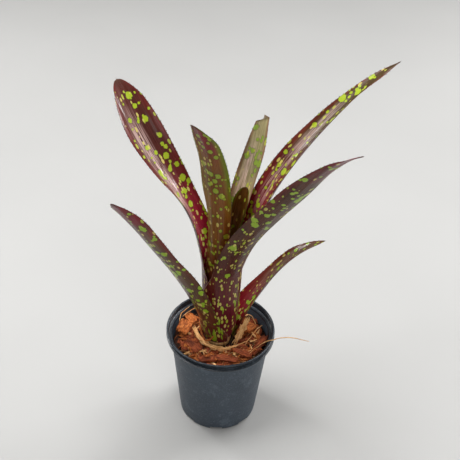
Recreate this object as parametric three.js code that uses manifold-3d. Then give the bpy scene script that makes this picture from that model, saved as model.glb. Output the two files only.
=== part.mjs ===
// Potted bromeliad: eight leaves whose sheaths wrap one another round a short stem, in husk chips in a pot.
// Millimetres, +Z up. The origin is the centre of the pot's flat base. The plant is seen face on from -Y.
import * as THREE from "three";
import { ParametricGeometry } from "three/addons/geometries/ParametricGeometry.js";
import { mergeVertices } from "three/addons/utils/BufferGeometryUtils.js";
import Module from "manifold-3d";

const wasm = await Module();
wasm.setup();

// ---- Pot ----
const potHeight = 103;
const rimRadius = 52; // outside of the rolled rim band
const baseRadius = 37.8; // outside of the wall at the base
const rimStep = 4.4; // how far the wall stands in from the rim band
const bandHeight = 7.5; // height of the rim band
const wallThickness = 1.3;
const floorThickness = 1.6;
const bandThickness = 2.4;
const rimRoll = 0.9; // rounding of the band's top and bottom edges
const notchCount = 8; // drainage notches round the bottom corner
const notchWidth = 12;
const notchHeight = 2.6;
const notchDepth = 3;

// ---- Husk bed ----
const gap = 0.3; // clearance between pieces that touch
const headroom = 16; // how far the husk lies below the rim
const bedHeight = potHeight - headroom; // top of the husk at the wall
const bedDimple = 5; // how far the bed dips under the plant's foot
const dimpleRadius = 20;

// ---- Plant ----
const axisX = -2; // the stem stands a little off the pot's centre
const axisY = 5;
const leafThickness = 0.8;
const neckBlend = 0.22; // part of a blade over which its channel turns from upright to square with its path
const slantStart = 0.8; // where along the blade a slanting end begins
const stemTopRadius = 5;
const layerPitch = 1.5; // radial step from one wrapped sheath to the next
const footHeight = bedHeight - 1; // where the outermost sheath starts
const footStep = 4; // each sheath inside it starts this much higher
const tubeBottom = bedHeight - 7; // heights between which the radii of the sheath tube are spaced evenly
const tubeTop = tubeBottom + 150;
const tubeRadii = [11.5, 19, 21, 21.5, 22.5, 24.5, 27];

const rad = THREE.MathUtils.degToRad;
const deg = THREE.MathUtils.radToDeg;

// A smooth curve through evenly spaced key values, s from 0 to 1.
function keyed(keys, s) {
  const last = keys.length - 1;
  const x = Math.min(Math.max(s * last, 0), last - 1e-9);
  const i = Math.floor(x);
  const f = x - i;
  const b = keys[i];
  const c = keys[i + 1];
  const a = i > 0 ? keys[i - 1] : 2 * b - c;
  const d = i + 2 <= last ? keys[i + 2] : 2 * c - b;
  const bend = (2 * a - 5 * b + 4 * c - d) * f * f + (3 * b - a - 3 * c + d) * f * f * f;
  return 0.5 * (2 * b + (c - a) * f + bend);
}

function smooth(a, b, x) {
  const t = Math.min(Math.max((x - a) / (b - a), 0), 1);
  return t * t * (3 - 2 * t);
}

// Radius of a wrapped sheath's middle surface at a height. Layer 0 is the outermost.
function ringRadius(layer, z) {
  return keyed(tubeRadii, (z - tubeBottom) / (tubeTop - tubeBottom)) - layerPitch * layer;
}

// Unit vector of a direction given by its lean from the vertical and its heading round the stem.
function direction(lean, heading) {
  return new THREE.Vector3(
    Math.sin(lean) * Math.cos(heading),
    Math.sin(lean) * Math.sin(heading),
    Math.cos(lean),
  );
}

// The leaves. Angles in degrees, heading 0 is +X and 90 is +Y.
//   layer: place in the wrapping, neck: height above the husk at which the blade leaves the sheath tube
//   wrap: half angle that the sheath wraps, from foot to neck
//   length: of the blade; lean, turn, roll, half (half width across the surface) and fold (half angle of the
//   channel) are key values spaced evenly along it
//   tip: length that tapers, as a part of the blade, and how bluntly
//   whip: half width of the thin tip; slant: how far the end is cut askew
const leaves = {
  leaf_lower_right: {
    layer: 0, heading: 30, neck: 8, wrap: [70, 60], length: 130,
    lean: [30, 35, 35, 45, 60], turn: [0, -15, -25, -40], roll: [0, -5, -10, 0],
    half: [16, 15, 12.5, 11, 8], fold: [45, 45, 45, 40], tip: [0.3, 0.7], whip: 0.4,
  },
  leaf_lower_left: {
    layer: 1, heading: 220, neck: 28, wrap: [90, 80], length: 200,
    lean: [20, 25, 30, 30, 35], turn: [0, 0, 0, 10], roll: [0, 10, 10, 20],
    half: [18, 18, 16, 15, 12], fold: [60, 50, 45, 40], tip: [0.2, 0.6], whip: 0.4,
  },
  leaf_mid_right: {
    layer: 2, heading: -55, neck: 88, wrap: [115, 110, 95], length: 235,
    lean: [15, 30, 35, 35, 55], turn: [0, 5, 5, 5], roll: [0, -15, -20, -15],
    half: [20, 19, 16, 14, 10], fold: [55, 50, 45, 40], tip: [0.4, 0.9], whip: 0.8,
  },
  leaf_upper_left: {
    layer: 3, heading: 155, neck: 93, wrap: [95, 95, 90], length: 180,
    lean: [10, 25, 35, 35, 35], turn: [0, 10, -5, -10], roll: [0, 0, -15, 0],
    half: [18, 17, 18, 18, 13], fold: [50, 40, 25, 20], tip: [0.13, 0.5], whip: 0.4,
  },
  leaf_upper_right: {
    layer: 4, heading: 20, neck: 93, wrap: [95, 95, 90], length: 230,
    lean: [15, 25, 40, 45, 60], turn: [0, 5, 0, -5], roll: [0, 0, -5, 5],
    half: [18, 16, 15, 11, 11], fold: [60, 55, 50, 40], tip: [0.35, 0.9], whip: 0.6,
  },
  leaf_centre_back: {
    layer: 5, heading: 60, neck: 103, wrap: [95, 95, 85], length: 120,
    lean: [10, 20, 25, 25, 25], turn: [0, -5, 0, 5], roll: [0, 0, 5, 0],
    half: [16, 13, 12, 10, 6], fold: [60, 50, 40, 30], tip: [0.01, 0.5], whip: 0, slant: 3,
  },
  leaf_centre_left: {
    layer: 6, heading: 245, neck: 93, wrap: [95, 95, 90], length: 170,
    lean: [0, 5, 10, 20, 30], turn: [0, -5, -5, -15], roll: [0, 0, 0, 0],
    half: [15, 14, 16, 15, 12], fold: [65, 50, 45, 40], tip: [0.16, 0.5], whip: 0.6,
  },
  leaf_heart: {
    layer: 7, heading: 60, neck: 63, wrap: [110, 110, 110], length: 105,
    lean: [0, 5, 10, 10, 10], turn: [0, -40, -50, -50], roll: [0, 50, 55, 55],
    half: [18, 17, 16, 13, 8], fold: [140, 135, 110, 70], tip: [0.16, 0.5], whip: 0.4,
  },
};

const leafCount = Object.keys(leaves).length;
const neckHeight = (leaf) => bedHeight + leaf.neck;

// Half width of the blade at fraction q of its length, drawn in to the tip.
function halfWidth(leaf, q) {
  const x = Math.min((1 - q) / leaf.tip[0], 1);
  const taper = (1 - (1 - x) ** 1.6) ** leaf.tip[1];
  return Math.max(keyed(leaf.half, q) * taper, leaf.whip);
}

// The middle line of a blade is stepped along in short lengths that follow its lean and turn.
function bladePath(leaf, steps = 120) {
  const heading = rad(leaf.heading);
  const start = ringRadius(leaf.layer, neckHeight(leaf));
  const at = new THREE.Vector3(
    axisX + start * Math.cos(heading),
    axisY + start * Math.sin(heading),
    neckHeight(leaf),
  );
  const way = (q) => direction(rad(keyed(leaf.lean, q)), heading + rad(keyed(leaf.turn, q)));
  const points = [at.clone()];
  for (let i = 0; i < steps; i++) {
    const step = way(i / steps).add(way((i + 1) / steps));
    at.addScaledVector(step, leaf.length / steps / 2);
    points.push(at.clone());
  }
  return points;
}

// One leaf as a closed body: the section's outline runs over the inner face and back over the outer face, and
// the thickness runs out at the margins, the foot and the tip.
function leafGeometry(leaf, across, sheathSteps, bladeSteps) {
  const heading = rad(leaf.heading);
  const neck = neckHeight(leaf);
  const neckAngle = deg(leaf.half[0] / ringRadius(leaf.layer, neck));
  const wrap = [...leaf.wrap, neckAngle];
  const fold = [neckAngle, ...leaf.fold];
  const foot = footHeight + footStep * leaf.layer;
  const path = bladePath(leaf);
  const rows = sheathSteps + bladeSteps;

  // Point of the middle surface and its normal towards the inner face. t runs from -1 to 1 across the leaf.
  function surface(row, t, point, normal) {
    if (row <= sheathSteps) {
      const p = row / sheathSteps;
      const z = foot + p * (neck - foot);
      const angle = heading - rad(keyed(wrap, p)) * t;
      normal.set(-Math.cos(angle), -Math.sin(angle), 0);
      point.set(axisX, axisY, z).addScaledVector(normal, -ringRadius(leaf.layer, z));
      return;
    }
    const q = (row - sheathSteps) / bladeSteps;
    const lean = rad(keyed(leaf.lean, q));
    const head = heading + rad(keyed(leaf.turn, q));
    const along = direction(lean, head);
    const upright = new THREE.Vector3(-Math.cos(heading), -Math.sin(heading), 0);
    const square = direction(lean - Math.PI / 2, head);
    const inward = upright.lerp(square, smooth(0, neckBlend, q)).normalize();
    const side = along.clone().cross(inward).normalize();
    const roll = rad(keyed(leaf.roll, q));
    const face = inward.clone().multiplyScalar(Math.cos(roll)).addScaledVector(side, Math.sin(roll));
    side.multiplyScalar(Math.cos(roll)).addScaledVector(inward, -Math.sin(roll));
    const radius = keyed(leaf.half, q) / rad(keyed(fold, q));
    const angle = (halfWidth(leaf, q) / radius) * t;
    const place = q * (path.length - 1);
    const i = Math.min(Math.floor(place), path.length - 2);
    point.lerpVectors(path[i], path[i + 1], place - i);
    point.addScaledVector(along, (leaf.slant ?? 0) * t * smooth(slantStart, 1, q));
    point.addScaledVector(face, radius * (1 - Math.cos(angle)));
    point.addScaledVector(side, radius * Math.sin(angle));
    normal.copy(face).multiplyScalar(Math.cos(angle)).addScaledVector(side, -Math.sin(angle));
  }

  const normal = new THREE.Vector3();
  function outline(u, v, target) {
    const row = v * rows;
    const inner = u < 0.5;
    const t = inner ? 4 * u - 1 : 3 - 4 * u;
    surface(row, t, target, normal);
    const ends = row > 0 && row < rows ? 1 : 0;
    const depth = (leafThickness / 2) * ends * (1 - t ** 4);
    target.addScaledVector(normal, inner ? depth : -depth);
    if (v === 1 && !leaf.slant) {
      target.copy(path[path.length - 1]);
    }
  }
  return creaseAlike(new ParametricGeometry(outline, 2 * across, rows), across, rows);
}

// Splits the cells of a leaf's outer face along the same diagonal as those of its inner face, so that both
// faces crease alike and the thin wall between them keeps its thickness.
function creaseAlike(geometry, across, rows) {
  const index = geometry.index;
  for (let row = 0; row < rows; row++) {
    for (let column = across; column < 2 * across; column++) {
      const cell = 6 * (2 * across * row + column);
      const a = index.getX(cell);
      const c = index.getX(cell + 4);
      index.setX(cell + 2, c);
      index.setX(cell + 3, a);
    }
  }
  return geometry;
}

// A closed mesh as a manifold solid, and back again.
function toSolid(geometry) {
  const bare = geometry.clone();
  bare.deleteAttribute("normal");
  bare.deleteAttribute("uv");
  const merged = mergeVertices(bare, 1e-4);
  return new wasm.Manifold(
    new wasm.Mesh({
      numProp: 3,
      vertProperties: new Float32Array(merged.attributes.position.array),
      triVerts: new Uint32Array(merged.index.array),
    }),
  );
}

function fromSolid(solid) {
  const mesh = solid.getMesh();
  const geometry = new THREE.BufferGeometry();
  geometry.setAttribute("position", new THREE.BufferAttribute(mesh.vertProperties, 3));
  geometry.setIndex(new THREE.BufferAttribute(mesh.triVerts, 1));
  geometry.computeVertexNormals();
  return geometry;
}

// A body of revolution about Z from (radius, height) pairs that go from the axis out, up and back to it.
function turned(profile, segments) {
  const points = profile.map(([r, z]) => new THREE.Vector2(r, z));
  return new THREE.LatheGeometry(points, segments).rotateX(Math.PI / 2);
}

const wallTop = potHeight - bandHeight;
const wallTopRadius = rimRadius - rimStep;
const slope = (wallTopRadius - baseRadius) / wallTop;
const wallInner = (z) => baseRadius + slope * z - wallThickness;
const bedRadius = wallInner(bedHeight) - gap;
const drawnBedRadius = 45; // the loose pieces' sizes and places are given on a bed of this radius
const drawnRimRadius = 52; // and those that reach past the rim, for a rim of this radius
const footRadius = ringRadius(0, footHeight);
const room = (bedRadius - footRadius) / (drawnBedRadius - footRadius);
const toRim = rimRadius / drawnRimRadius;

// Distance from the plant's axis to a wall of the given radius, along a bearing.
function reach(radius, bearing) {
  const b = axisX * Math.cos(bearing) + axisY * Math.sin(bearing);
  return Math.sqrt(b * b - axisX ** 2 - axisY ** 2 + radius ** 2) - b;
}

// A place on the husk: x and y, spread between the plant's foot and the wall, and the height above the husk.
function onBed([x, y, above]) {
  const bearing = Math.atan2(y - axisY, x - axisX);
  const away = Math.hypot(x - axisX, y - axisY) - footRadius;
  const part = (reach(bedRadius, bearing) - footRadius) / (reach(drawnBedRadius, bearing) - footRadius);
  const distance = footRadius + part * away;
  return [axisX + distance * Math.cos(bearing), axisY + distance * Math.sin(bearing), bedHeight + above];
}

// A place beside the plant's foot, whatever room the pot leaves round it.
const byFoot = ([x, y, above]) => [x, y, bedHeight + above];

// A place past the rim, with its height above the rim.
const overRim = ([x, y, above]) => [toRim * x, toRim * y, potHeight + above];

function potGeometry() {
  const bandInner = rimRadius - bandThickness;
  const body = turned(
    [
      [0, 0],
      [baseRadius - 1.2, 0],
      [baseRadius, 1.2],
      [wallTopRadius, wallTop - 0.4],
      [rimRadius - rimRoll, wallTop],
      [rimRadius, wallTop + rimRoll],
      [rimRadius, potHeight - rimRoll],
      [rimRadius - rimRoll, potHeight],
      [bandInner + 0.5, potHeight],
      [bandInner, potHeight - 0.6],
      [bandInner, wallTop + wallThickness + 0.6],
      [bandInner - 0.6, wallTop + wallThickness],
      [wallInner(wallTop) + 0.5, wallTop + wallThickness - 0.4],
      [wallInner(wallTop), wallTop + 0.2],
      [wallInner(floorThickness), floorThickness],
      [0, floorThickness],
    ],
    64,
  );
  let solid = toSolid(body);
  for (let i = 0; i < notchCount; i++) {
    const notch = new THREE.BoxGeometry(2 * notchDepth, notchWidth, 2 * notchHeight);
    notch.translate(baseRadius, 0, 0).rotateZ(rad(-90 + (360 / notchCount) * i));
    solid = solid.subtract(toSolid(notch));
  }
  return fromSolid(solid);
}

function bedGeometry() {
  const bottom = floorThickness + gap + notchHeight;
  return turned(
    [
      [0, bottom],
      [wallInner(bottom) - gap - notchDepth, bottom],
      [wallInner(bottom + 3) - gap, bottom + 3],
      [wallInner(bedHeight - 1) - gap, bedHeight - 1],
      [wallInner(bedHeight) - 3, bedHeight + 0.4],
      [34, bedHeight + 0.8],
      [27, bedHeight - 0.2],
      [dimpleRadius + 3, bedHeight - 2],
      [dimpleRadius, bedHeight - bedDimple],
      [0, bedHeight - bedDimple],
    ],
    40,
  );
}

// The short stem stands inside the feet of all the sheaths.
function stemGeometry() {
  const bottom = bedHeight - bedDimple + gap;
  const clear = leafThickness / 2 + 2 * gap;
  const profile = [
    [0, bottom],
    [ringRadius(0, bottom) - clear - 1.5, bottom],
  ];
  for (let layer = 0; layer < leafCount; layer++) {
    const z = footHeight + footStep * layer;
    profile.push([ringRadius(layer, z) - clear, z]);
  }
  const top = footHeight + footStep * leafCount;
  profile.push([stemTopRadius, top], [0, top + 1.5]);
  return turned(profile, 24).translate(axisX, axisY, 0);
}

// A husk chip: a ragged plate with chamfered edges, long in its own X.
function chipGeometry(length, width, thickness, ragged) {
  const outline = new THREE.Shape();
  const corners = 8;
  for (let i = 0; i < corners; i++) {
    const angle = (2 * Math.PI * i) / corners;
    const reach = 1 - ragged * (0.5 + 0.5 * Math.sin(2.4 * i + length));
    const x = 0.5 * length * reach * Math.cos(angle);
    const y = 0.5 * width * reach * Math.sin(angle);
    if (i === 0) {
      outline.moveTo(x, y);
    } else {
      outline.lineTo(x, y);
    }
  }
  const bevel = 0.25 * thickness;
  const chip = new THREE.ExtrudeGeometry(outline, {
    depth: thickness - 2 * bevel,
    bevelEnabled: true,
    bevelThickness: bevel,
    bevelSize: bevel,
    bevelOffset: -bevel,
    bevelSegments: 1,
  });
  return chip.translate(0, 0, bevel - thickness / 2);
}

// A flat strip along a curve.
function stripGeometry(points, width, thickness, steps) {
  const section = new THREE.Shape();
  section.moveTo(-thickness / 2, -width / 2);
  section.lineTo(thickness / 2, -width / 2);
  section.lineTo(thickness / 2, width / 2);
  section.lineTo(-thickness / 2, width / 2);
  const path = new THREE.CatmullRomCurve3(points.map((p) => new THREE.Vector3(...p)));
  return new THREE.ExtrudeGeometry(section, { steps, bevelEnabled: false, extrudePath: path });
}

// A round fibre or twig along a curve.
function fibreGeometry(points, radius, sides, steps) {
  const section = new THREE.Shape();
  for (let i = 0; i < sides; i++) {
    const angle = (2 * Math.PI * i) / sides;
    const x = radius * Math.cos(angle);
    const y = radius * Math.sin(angle);
    if (i === 0) {
      section.moveTo(x, y);
    } else {
      section.lineTo(x, y);
    }
  }
  const path = new THREE.CatmullRomCurve3(points.map((p) => new THREE.Vector3(...p)));
  return new THREE.ExtrudeGeometry(section, { steps, bevelEnabled: false, extrudePath: path });
}

function twigGeometry(trunk, branch, radius) {
  const main = toSolid(fibreGeometry(trunk, radius, 7, 6));
  const side = toSolid(fibreGeometry(branch, radius * 0.8, 7, 4));
  return fromSolid(main.add(side));
}

const group = new THREE.Group();

function addMesh(name, geometry, color, roughness, metalness = 0) {
  const material = new THREE.MeshStandardMaterial({ color, roughness, metalness });
  const mesh = new THREE.Mesh(geometry, material);
  mesh.name = name;
  group.add(mesh);
  return mesh;
}

addMesh("pot", potGeometry(), 0x3c4248, 0.6);
addMesh("husk_bed", bedGeometry(), 0x5a3420, 0.95);
addMesh("stem", stemGeometry(), 0x6b4a34, 0.8);

const leafColors = {
  leaf_lower_right: 0x5c1f2e,
  leaf_lower_left: 0x53303a,
  leaf_mid_right: 0x55343f,
  leaf_upper_left: 0x6e1f36,
  leaf_upper_right: 0x661a30,
  leaf_centre_back: 0x7a5a5e,
  leaf_centre_left: 0x5e3a2a,
  leaf_heart: 0x585018,
};
for (const [name, leaf] of Object.entries(leaves)) {
  addMesh(name, leafGeometry(leaf, 12, 5, 19), leafColors[name], 0.35);
}

// Loose chips: size, raggedness, place of the middle on the husk, then turn about Z, tilt about X and tilt
// about Y in degrees.
const chips = [
  { size: [17, 12, 4.5], ragged: 0.3, at: [-35, 8, 6.5], turn: 70, tilt: [18, 0] },
  { size: [20, 8, 2.4], ragged: 0.25, at: [-25, -14, 3.5], turn: -45, tilt: [8, 0] },
  { size: [19, 8, 2.6], ragged: 0.3, at: [22, -20, 4], turn: -26, tilt: [-10, 0] },
  { size: [24, 7, 2.2], ragged: 0.3, at: [5, -29, 3.5], turn: -8, tilt: [6, 0] },
  { size: [17, 11, 5], ragged: 0.3, at: [28, 11, 6.5], turn: 60, tilt: [0, 16] },
  { size: [26, 7, 2.6], ragged: 0.35, at: [37, -8, 4.5], turn: 62, tilt: [0, -8] },
  { size: [20, 10, 3.4], ragged: 0.3, at: [10, 34, 4], turn: 12, tilt: [-8, 0] },
  { size: [18, 9, 3], ragged: 0.3, at: [-14, 34, 4], turn: 160, tilt: [8, 0] },
  { size: [16, 9, 3.2], ragged: 0.35, at: [-30, 23, 4.2], turn: 118, tilt: [0, 6] },
  { size: [15, 8, 2.8], ragged: 0.3, at: [-11, -31, 3.5], turn: 22, tilt: [-6, 0] },
];
chips.forEach((chip, i) => {
  const color = i % 2 === 0 ? 0xa8622e : 0x7a3f22;
  const geometry = chipGeometry(...chip.size.map((size) => room * size), chip.ragged);
  const mesh = addMesh("chip_" + (i + 1), geometry, color, 0.95);
  mesh.position.set(...onBed(chip.at));
  mesh.rotation.set(rad(chip.tilt[0]), rad(chip.tilt[1]), rad(chip.turn), "ZYX");
});

const straw = 0xc8a070;
addMesh(
  "straw_curved",
  stripGeometry(
    [[-26, 8, 7], [-20, -5, 6], [-9, -14, 4], [2, -17, 3.5], [11, -15, 3.5]].map(onBed),
    5,
    0.9,
    12,
  ),
  straw,
  0.8,
);
addMesh(
  "straw_tall",
  stripGeometry([[14, -9, 5.5], [19.5, -5, 16], [25, 0, 29]].map(onBed), 7, 0.8, 5),
  straw,
  0.8,
);
addMesh(
  "twig_forked",
  twigGeometry(
    [[-21, 8, 13], [-18.5, -1, 9.5], [-14, -10, 6.5]].map(byFoot),
    [[-6.5, -15, 18], [-9.5, -13.5, 12], [-14, -10, 6.5]].map(byFoot),
    1.0,
  ),
  straw,
  0.85,
);

const fibres = {
  fibre_left_1: [[-41, 15, 7], [-39, 24, 10], [-32, 33, 11]].map(onBed),
  fibre_left_2: [[-38, 22, 7], [-30, 31, 8.5], [-21, 38, 7]].map(onBed),
  fibre_right_1: [[24, -12, 7], [33, 2, 10.5], [40, 14, 8]].map(onBed),
  fibre_right_2: [[36, 14, 4], [31, 24, 8], [27, 32, 5]].map(onBed),
  fibre_stray: [
    onBed([28, -25, 7]),
    overRim([39, -19, -1]),
    overRim([50, -15, 1.2]),
    overRim([62, -11, 1]),
    overRim([72, -10, -0.5]),
    overRim([84, -11, -3]),
  ],
};
for (const [name, points] of Object.entries(fibres)) {
  addMesh(name, fibreGeometry(points, 0.45, 6, 4 * (points.length - 1)), straw, 0.9);
}

export default group;
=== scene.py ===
"""A potted bromeliad: eight spotted leaves wrapped round a short stem, in husk chips, in a nursery pot.

Lengths in the tables are millimetres and are multiplied by MM as each surface goes into its mesh, in metres.
"""

import bpy
import numpy as np
from mathutils import Matrix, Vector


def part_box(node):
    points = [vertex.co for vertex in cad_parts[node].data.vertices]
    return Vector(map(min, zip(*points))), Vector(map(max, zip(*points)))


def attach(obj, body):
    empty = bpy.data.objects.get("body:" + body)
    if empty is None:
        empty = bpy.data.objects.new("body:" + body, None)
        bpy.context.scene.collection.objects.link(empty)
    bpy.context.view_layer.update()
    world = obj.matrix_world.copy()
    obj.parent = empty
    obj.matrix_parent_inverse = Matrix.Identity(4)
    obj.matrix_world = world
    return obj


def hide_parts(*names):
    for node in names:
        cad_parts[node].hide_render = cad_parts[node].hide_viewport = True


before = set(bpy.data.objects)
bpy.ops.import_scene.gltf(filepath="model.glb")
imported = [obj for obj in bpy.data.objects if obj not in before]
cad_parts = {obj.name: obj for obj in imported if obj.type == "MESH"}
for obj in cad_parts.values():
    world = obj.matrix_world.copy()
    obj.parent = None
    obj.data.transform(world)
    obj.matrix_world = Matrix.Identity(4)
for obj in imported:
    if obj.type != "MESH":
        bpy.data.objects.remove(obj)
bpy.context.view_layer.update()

MM = 0.001
POT_HEIGHT = 103
RIM_RADIUS = 52
BASE_RADIUS = 37.8
RIM_STEP = 4.4
BAND_HEIGHT = 7.5
WALL = 1.3
BAND = 2.4
FLOOR = 1.6
BAND_SET_IN = 1.4
BAND_FOOT = POT_HEIGHT - BAND_HEIGHT
LEDGE = (1.2, 1.9)  # the ledge under the rim band, its outer and inner edge above the band's foot
POT_SEGMENTS = 192
NOTCHES = 8
NOTCH_SIZE = (0.006, 0.012, 0.0052)  # metres
BED_HEIGHT = POT_HEIGHT - 16
BED_DIMPLE = 5
BED_SEGMENTS = 160
BED_RINGS = 46
FOOT_CLEAR = 21.4  # how far loose fibres stay from the plant's axis
AXIS = np.array([-2.0, 5.0])
LEAF_THICKNESS = 0.8
LAYER_PITCH = 1.5
FOOT_HEIGHT = BED_HEIGHT - 1
FOOT_STEP = 4
TUBE_BOTTOM = BED_HEIGHT - 7
TUBE_LENGTH = 150
TUBE_RADII = [11.5, 19, 21, 21.5, 22.5, 24.5, 27]

# Leaves, as in the frame: angles in degrees, key values spaced evenly along the blade.
# look: inner colour at the base and at the tip, outer colour, pale strip (the scurf's grey with painted
# sheen), spot inside and outside, and how strong the painted pale highlight along the channel is.
# spots: how many, the smallest and the largest radius, and the favoured band across the leaf.
# margin and strip_side are given where a leaf differs from the rest.
CRIMSON, MAROON, PLUM = (0.22, 0.004, 0.022), (0.08, 0.006, 0.014), (0.062, 0.009, 0.012)
# The first colour on the next line is the outer face's pale strip: the grey of its scurf, made paler as
# painted sheen where the face turns at the keel.
SCURF_AND_SHEEN, LIME, MOSS = (0.12, 0.07, 0.042), (0.37, 0.48, 0.008), (0.24, 0.42, 0.01)
RED_MARGIN, GREEN_MARGIN = (0.15, 0.01, 0.012), (0.12, 0.24, 0.008)
LEAVES = {
    "leaf_lower_right": dict(
        layer=0, heading=30, neck=8, wrap=[70, 60], length=130,
        lean=[30, 35, 35, 45, 60], turn=[0, -15, -25, -40], roll=[0, -5, -10, 0],
        half=[16, 15, 12.5, 11, 8], fold=[45, 45, 45, 40], tip=(0.3, 0.7), whip=0.4,
        look=((0.2, 0.004, 0.012), (0.1, 0.04, 0.018), PLUM, SCURF_AND_SHEEN, MOSS, MOSS, 0.1),
        spots=(24, 1.2, 2.8, 0.0),
    ),
    "leaf_lower_left": dict(
        layer=1, heading=220, neck=28, wrap=[90, 80], length=200,
        lean=[20, 25, 30, 30, 35], turn=[0, 0, 0, 10], roll=[0, 10, 10, 20],
        half=[18, 18, 16, 15, 12], fold=[60, 50, 45, 40], tip=(0.2, 0.6), whip=0.4,
        look=(CRIMSON, MAROON, (0.085, 0.028, 0.01), SCURF_AND_SHEEN, LIME, MOSS, 0.1),
        spots=(66, 1.3, 3.4, -0.4),
    ),
    "leaf_mid_right": dict(
        layer=2, heading=-55, neck=88, wrap=[115, 110, 95], length=235,
        lean=[15, 30, 35, 35, 55], turn=[0, 5, 5, 5], roll=[0, -15, -20, -15],
        half=[20, 19, 16, 14, 10], fold=[55, 50, 45, 40], tip=(0.4, 0.9), whip=0.8,
        look=(CRIMSON, MAROON, (0.065, 0.018, 0.006), SCURF_AND_SHEEN, LIME, (0.28, 0.46, 0.02), 0.1),
        spots=(84, 1.3, 4.0, 0.35),
    ),
    "leaf_upper_left": dict(
        layer=3, heading=155, neck=93, wrap=[95, 95, 90], length=180,
        lean=[10, 25, 35, 35, 35], turn=[0, 10, -5, -10], roll=[0, 0, -15, 0],
        half=[18, 17, 18, 18, 13], fold=[50, 40, 25, 20], tip=(0.13, 0.5), whip=0.4,
        look=(CRIMSON, (0.075, 0.014, 0.01), PLUM, SCURF_AND_SHEEN, LIME, MOSS, 0.8),
        spots=(70, 1.1, 3.5, 0.2),
    ),
    "leaf_upper_right": dict(
        layer=4, heading=20, neck=93, wrap=[95, 95, 90], length=230,
        lean=[15, 25, 40, 45, 60], turn=[0, 5, 0, -5], roll=[0, 0, -5, 5],
        half=[18, 16, 15, 11, 11], fold=[60, 55, 50, 40], tip=(0.35, 0.9), whip=0.6,
        look=(CRIMSON, (0.055, 0.03, 0.008), PLUM, SCURF_AND_SHEEN, LIME, MOSS, 0.5),
        spots=(96, 1.1, 3.6, -0.3), strip_side=0.9,
    ),
    "leaf_centre_back": dict(
        layer=5, heading=60, neck=103, wrap=[95, 95, 85], length=120,
        lean=[10, 20, 25, 25, 25], turn=[0, -5, 0, 5], roll=[0, 0, 5, 0],
        half=[16, 13, 12, 10, 6], fold=[60, 50, 40, 30], tip=(0.01, 0.5), whip=0, slant=3,
        look=((0.4, 0.24, 0.16), (0.3, 0.26, 0.13), PLUM, SCURF_AND_SHEEN, (0.2, 0.32, 0.05), MOSS, 0.8),
        spots=(46, 1.3, 3.2, 0.0),
    ),
    "leaf_centre_left": dict(
        layer=6, heading=245, neck=93, wrap=[95, 95, 90], length=170,
        lean=[0, 5, 10, 20, 30], turn=[0, -5, -5, -15], roll=[0, 0, 0, 0],
        half=[15, 14, 16, 15, 12], fold=[65, 50, 45, 40], tip=(0.16, 0.5), whip=0.6,
        look=((0.14, 0.03, 0.02), (0.2, 0.02, 0.05), (0.17, 0.062, 0.01), (0.21, 0.12, 0.02), LIME,
              (0.26, 0.36, 0.015), 0.1),
        margin=GREEN_MARGIN, spots=(60, 1.2, 3.4, -0.3), strip_side=0.9,
    ),
    "leaf_heart": dict(
        layer=7, heading=60, neck=63, wrap=[110, 110, 110], length=105,
        lean=[0, 5, 10, 10, 10], turn=[0, -40, -50, -50], roll=[0, 50, 55, 55],
        half=[18, 17, 16, 13, 8], fold=[140, 135, 110, 70], tip=(0.16, 0.5), whip=0.4,
        look=((0.16, 0.15, 0.006), (0.12, 0.05, 0.008), (0.035, 0.05, 0.006), (0.3, 0.25, 0.08),
              (0.3, 0.44, 0.02), MOSS, 0.1),
        margin=GREEN_MARGIN, spots=(14, 0.9, 1.9, 0.0),
    ),
}
STRIP_SIDE = -0.9
ALONG_STEP = 1.0  # mm between rows of a leaf
ACROSS_CELLS = 36
PATH_STEPS = 120  # along a blade's middle line
MARGIN_EASE = 0.86  # 1 would crowd a leaf's columns fully towards its margins, 0 would space them evenly
RIPPLE_HEIGHT = 0.45
RIPPLE_LENGTH = 8.5  # for one radian of the wave
PLEAT_DEPTH = 0.12
PLEATS = 1.1  # radians of the wave for a millimetre
SHEATH_FLARE = 0.55
SHEATH_STREAKS = 16
STREAK_REACH = 60
SPINE_GAPS = (3.2, 5.6)
SPINE_LENGTHS = (0.7, 1.2)
SPINE_FOOT = (0.42, 0.22)  # half its length and half its width
SPINE_SUNK = 0.15

# Colours that every leaf shares, and the pot's.
SHEATH_RED, TIP_RED = (0.12, 0.006, 0.018), (0.16, 0.008, 0.022)
# The pale pink of the painted highlight along the leaves' channels comes first on the next line.
PAINTED_HIGHLIGHT_PINK = (0.64, 0.46, 0.42)
SPOT_RIM, SPOT_YELLOW = (0.03, 0.02, 0.006), (0.3, 0.38, 0.04)
FLECK_CREAM, FLECK_LIME = (0.66, 0.54, 0.15), (0.42, 0.5, 0.04)
# The next line: the dry tip's brown, which also darkens the margins as painted shadow along the sheath, and
# the tan of the painted highlight on the sheath's margin.
DRY_AND_SHADOW_BROWN, PAINTED_EDGE_HIGHLIGHT = (0.06, 0.025, 0.012), (0.36, 0.2, 0.15)
# The pot's body, its pale scuffs, and its rim band, which is painted darker as painted shade.
POT_BODY, POT_SCUFF, RIM_PAINTED_SHADE = (0.018, 0.028, 0.042), (0.26, 0.33, 0.41), (0.006, 0.01, 0.016)


# ---- Curves and numbers ----
def keyed(keys, s):
    """A smooth curve (Catmull-Rom) through evenly spaced key values, with s from 0 to 1."""
    k = np.asarray(keys, float)
    k = k.reshape(len(k), -1)
    n = len(k) - 1
    x = np.clip(np.asarray(s, float) * n, 0, n - 1e-9)
    i = np.floor(x).astype(int)
    f = (x - i)[:, None]
    full = np.concatenate([2 * k[:1] - k[1:2], k, 2 * k[-1:] - k[-2:-1]])
    a, b, c, d = full[i], full[i + 1], full[i + 2], full[i + 3]
    bend = (2 * a - 5 * b + 4 * c - d) * f**2 + (3 * b - a - 3 * c + d) * f**3
    value = 0.5 * (2 * b + (c - a) * f + bend)
    return value[:, 0] if value.shape[1] == 1 else value


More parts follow.
